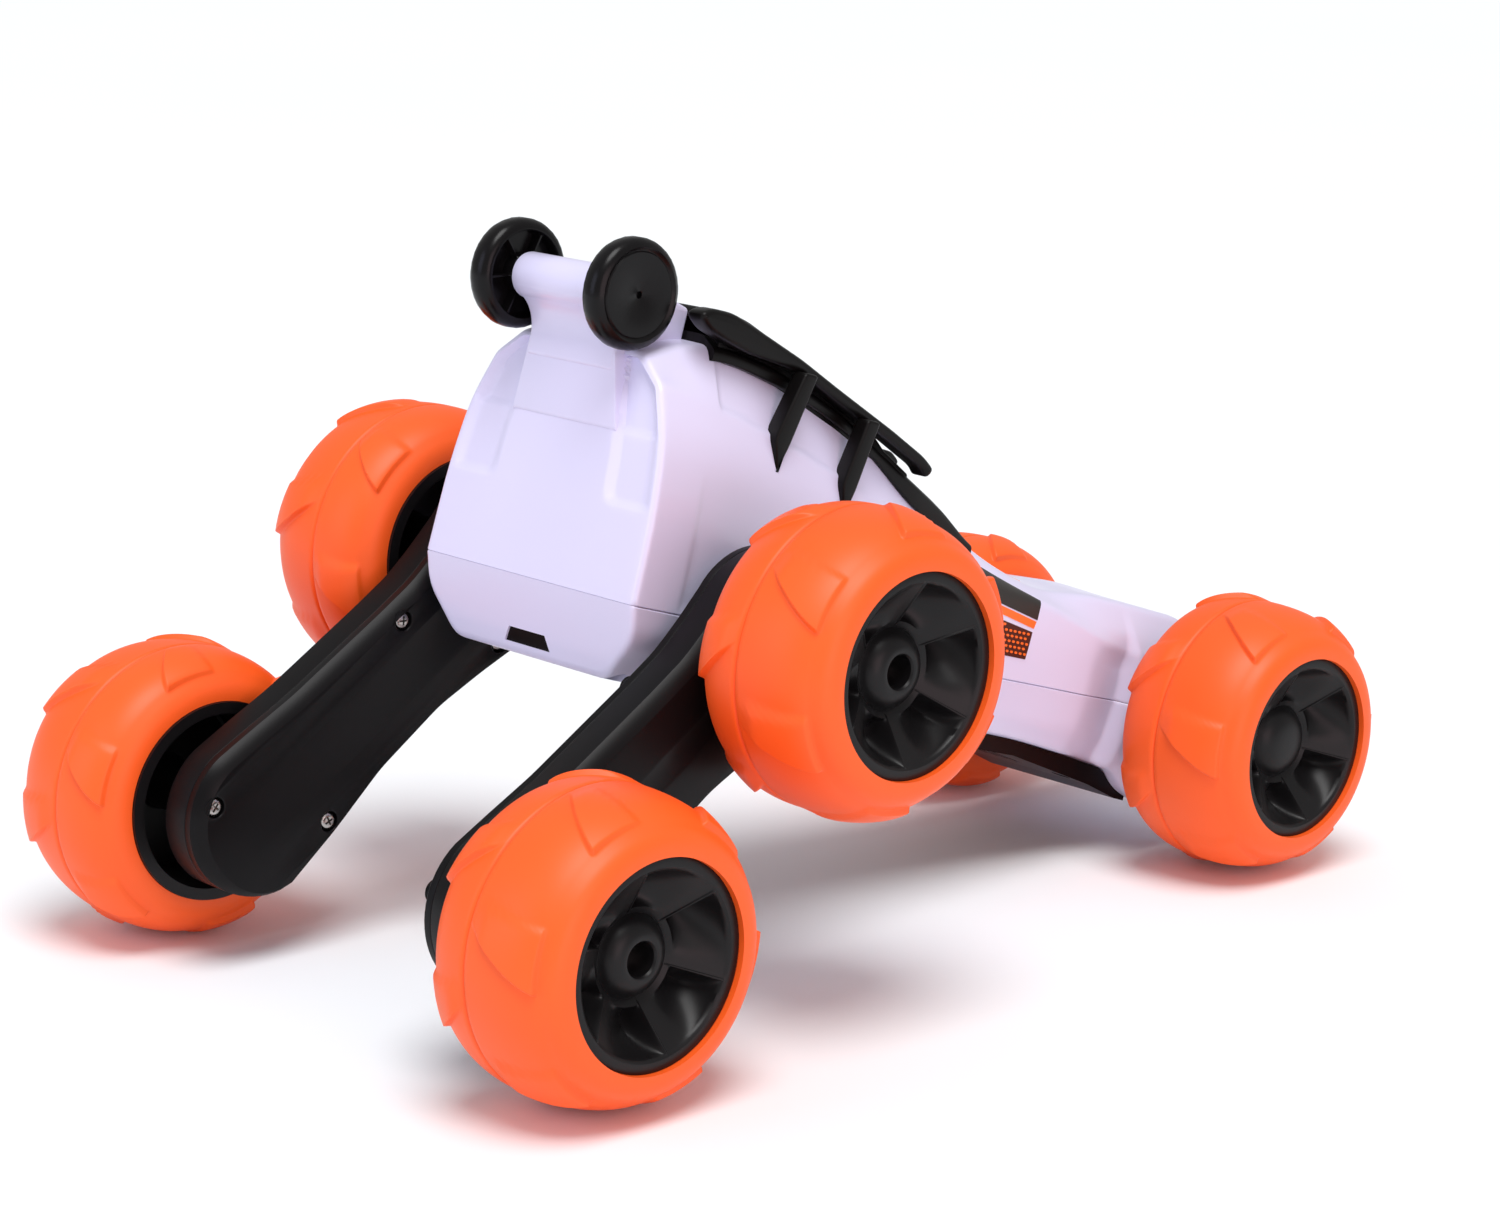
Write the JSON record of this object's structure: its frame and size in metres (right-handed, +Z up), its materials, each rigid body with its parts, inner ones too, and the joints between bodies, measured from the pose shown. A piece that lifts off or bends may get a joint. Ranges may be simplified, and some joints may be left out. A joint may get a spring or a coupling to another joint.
{
  "type": "rc stunt car",
  "caption": "Stunt car with a pitched body on front wheels, two swing arms that each carry a geared middle and rear wheel, and tail rollers.",
  "frame": {"origin": "on the floor, midway between the rear and front axles, on the car's middle plane", "axes": "+X to the nose, +Y to the car's left, +Z up"},
  "size_m": [0.3184, 0.1954, 0.1747],
  "materials": {
    "body_white": "satin gloss",
    "black_plastic": "satin",
    "hub_black": "satin",
    "tyre_orange": "soft matt rubber",
    "steel": "nickel plated",
    "gear_nylon": "matt nylon",
    "lens": "clear gloss",
    "led": "gloss",
    "speaker_black": "matt",
    "circuit_board": "gloss",
    "battery_wrap": "gloss film",
    "socket_metal": "plated"
  },
  "bodies": {
    "chassis": {"lower_shell": "body_white", "upper_shell": "body_white", "belly_plate": "black_plastic", "battery_door": "black_plastic", "canopy": "black_plastic", "roof_rail_left": "black_plastic", "roof_rail_right": "black_plastic", "headlight_lenses": "lens", "headlight_leds": "led", "speaker": "speaker_black", "circuit_board": "circuit_board", "battery_pack": "battery_wrap", "charging_socket": "socket_metal", "drive_gearmotor_left": "gear_nylon", "drive_gearmotor_right": "gear_nylon", "swing_gearmotor": "gear_nylon", "axle_bushes": "gear_nylon", "front_axle": "steel", "body_screws": "steel", "roller_axle": "steel"},
    "power_switch": {"power_switch": "black_plastic"},
    "swing_layshaft": {"swing_layshaft": "gear_nylon"},
    "left_arm": {"arm_inner_shell_left": "black_plastic", "arm_outer_shell_left": "black_plastic", "arm_screws_left": "steel", "idler_pins_left": "steel", "swing_gear_left": "gear_nylon"},
    "right_arm": {"arm_inner_shell_right": "black_plastic", "arm_outer_shell_right": "black_plastic", "arm_screws_right": "steel", "idler_pins_right": "steel", "swing_gear_right": "gear_nylon"},
    "left_mid_wheel": {"mid_tyre_left": "tyre_orange", "mid_hub_left": "hub_black", "mid_wheel_shaft_left": "steel", "mid_wheel_screw_left": "steel"},
    "left_rear_wheel": {"rear_tyre_left": "tyre_orange", "rear_hub_left": "hub_black", "rear_wheel_shaft_left": "steel", "rear_wheel_screw_left": "steel"},
    "left_idler_1": {"idler_gear_1_left": "gear_nylon"},
    "left_idler_2": {"idler_gear_2_left": "gear_nylon"},
    "left_idler_3": {"idler_gear_3_left": "gear_nylon"},
    "left_front_wheel": {"front_tyre_left": "tyre_orange", "front_hub_left": "hub_black"},
    "left_roller": {"roller_left": "black_plastic"},
    "right_mid_wheel": {"mid_tyre_right": "tyre_orange", "mid_hub_right": "hub_black", "mid_wheel_shaft_right": "steel", "mid_wheel_screw_right": "steel"},
    "right_rear_wheel": {"rear_tyre_right": "tyre_orange", "rear_hub_right": "hub_black", "rear_wheel_shaft_right": "steel", "rear_wheel_screw_right": "steel"},
    "right_idler_1": {"idler_gear_1_right": "gear_nylon"},
    "right_idler_2": {"idler_gear_2_right": "gear_nylon"},
    "right_idler_3": {"idler_gear_3_right": "gear_nylon"},
    "right_front_wheel": {"front_tyre_right": "tyre_orange", "front_hub_right": "hub_black"},
    "right_roller": {"roller_right": "black_plastic"}
  },
  "joints": [
    {"name": "power_switch_slide", "type": "slide", "parent": "chassis", "child": "power_switch", "axis": [0.9599, 0, -0.2805], "range_m": [0, 0.004]},
    {"name": "left_arm_swing", "type": "hinge", "parent": "chassis", "child": "left_arm", "pos_m": [-0.04902, 0, 0.08632], "axis": [0, 1, 0], "continuous": true},
    {"name": "right_arm_swing", "type": "hinge", "parent": "chassis", "child": "right_arm", "pos_m": [-0.04902, 0, 0.08632], "axis": [0, 1, 0], "continuous": true},
    {"name": "layshaft_spin", "type": "hinge", "parent": "chassis", "child": "swing_layshaft", "pos_m": [-0.03136, 0, 0.08115], "axis": [0, 1, 0], "continuous": true},
    {"name": "left_mid_wheel_spin", "type": "hinge", "parent": "left_arm", "child": "left_mid_wheel", "pos_m": [-0.04902, 0, 0.08632], "axis": [0, 1, 0], "continuous": true},
    {"name": "left_rear_wheel_spin", "type": "hinge", "parent": "left_arm", "child": "left_rear_wheel", "pos_m": [-0.12316, 0, 0.036], "axis": [0, 1, 0], "continuous": true},
    {"name": "left_idler_1_spin", "type": "hinge", "parent": "left_arm", "child": "left_idler_1", "pos_m": [-0.06755, 0, 0.07374], "axis": [0, 1, 0], "continuous": true},
    {"name": "left_idler_2_spin", "type": "hinge", "parent": "left_arm", "child": "left_idler_2", "pos_m": [-0.08609, 0, 0.06116], "axis": [0, 1, 0], "continuous": true},
    {"name": "left_idler_3_spin", "type": "hinge", "parent": "left_arm", "child": "left_idler_3", "pos_m": [-0.10462, 0, 0.04858], "axis": [0, 1, 0], "continuous": true},
    {"name": "left_front_wheel_spin", "type": "hinge", "parent": "chassis", "child": "left_front_wheel", "pos_m": [0.12316, 0, 0.036], "axis": [0, 1, 0], "continuous": true},
    {"name": "left_roller_spin", "type": "hinge", "parent": "chassis", "child": "left_roller", "pos_m": [-0.06603, 0, 0.16182], "axis": [0, 1, 0], "continuous": true},
    {"name": "right_mid_wheel_spin", "type": "hinge", "parent": "right_arm", "child": "right_mid_wheel", "pos_m": [-0.04902, 0, 0.08632], "axis": [0, 1, 0], "continuous": true},
    {"name": "right_rear_wheel_spin", "type": "hinge", "parent": "right_arm", "child": "right_rear_wheel", "pos_m": [-0.12316, 0, 0.036], "axis": [0, 1, 0], "continuous": true},
    {"name": "right_idler_1_spin", "type": "hinge", "parent": "right_arm", "child": "right_idler_1", "pos_m": [-0.06755, 0, 0.07374], "axis": [0, 1, 0], "continuous": true},
    {"name": "right_idler_2_spin", "type": "hinge", "parent": "right_arm", "child": "right_idler_2", "pos_m": [-0.08609, 0, 0.06116], "axis": [0, 1, 0], "continuous": true},
    {"name": "right_idler_3_spin", "type": "hinge", "parent": "right_arm", "child": "right_idler_3", "pos_m": [-0.10462, 0, 0.04858], "axis": [0, 1, 0], "continuous": true},
    {"name": "right_front_wheel_spin", "type": "hinge", "parent": "chassis", "child": "right_front_wheel", "pos_m": [0.12316, 0, 0.036], "axis": [0, 1, 0], "continuous": true},
    {"name": "right_roller_spin", "type": "hinge", "parent": "chassis", "child": "right_roller", "pos_m": [-0.06603, 0, 0.16182], "axis": [0, 1, 0], "continuous": true}
  ],
  "couplings": [
    {"joint": "right_arm_swing", "follows": "left_arm_swing", "ratio": 1},
    {"joint": "layshaft_spin", "follows": "left_arm_swing", "ratio": -2.2857},
    {"joint": "left_rear_wheel_spin", "follows": "left_mid_wheel_spin", "ratio": 1},
    {"joint": "left_idler_1_spin", "follows": "left_mid_wheel_spin", "ratio": -1},
    {"joint": "left_idler_2_spin", "follows": "left_mid_wheel_spin", "ratio": 1},
    {"joint": "left_idler_3_spin", "follows": "left_mid_wheel_spin", "ratio": -1},
    {"joint": "right_rear_wheel_spin", "follows": "right_mid_wheel_spin", "ratio": 1},
    {"joint": "right_idler_1_spin", "follows": "right_mid_wheel_spin", "ratio": -1},
    {"joint": "right_idler_2_spin", "follows": "right_mid_wheel_spin", "ratio": 1},
    {"joint": "right_idler_3_spin", "follows": "right_mid_wheel_spin", "ratio": -1}
  ]
}
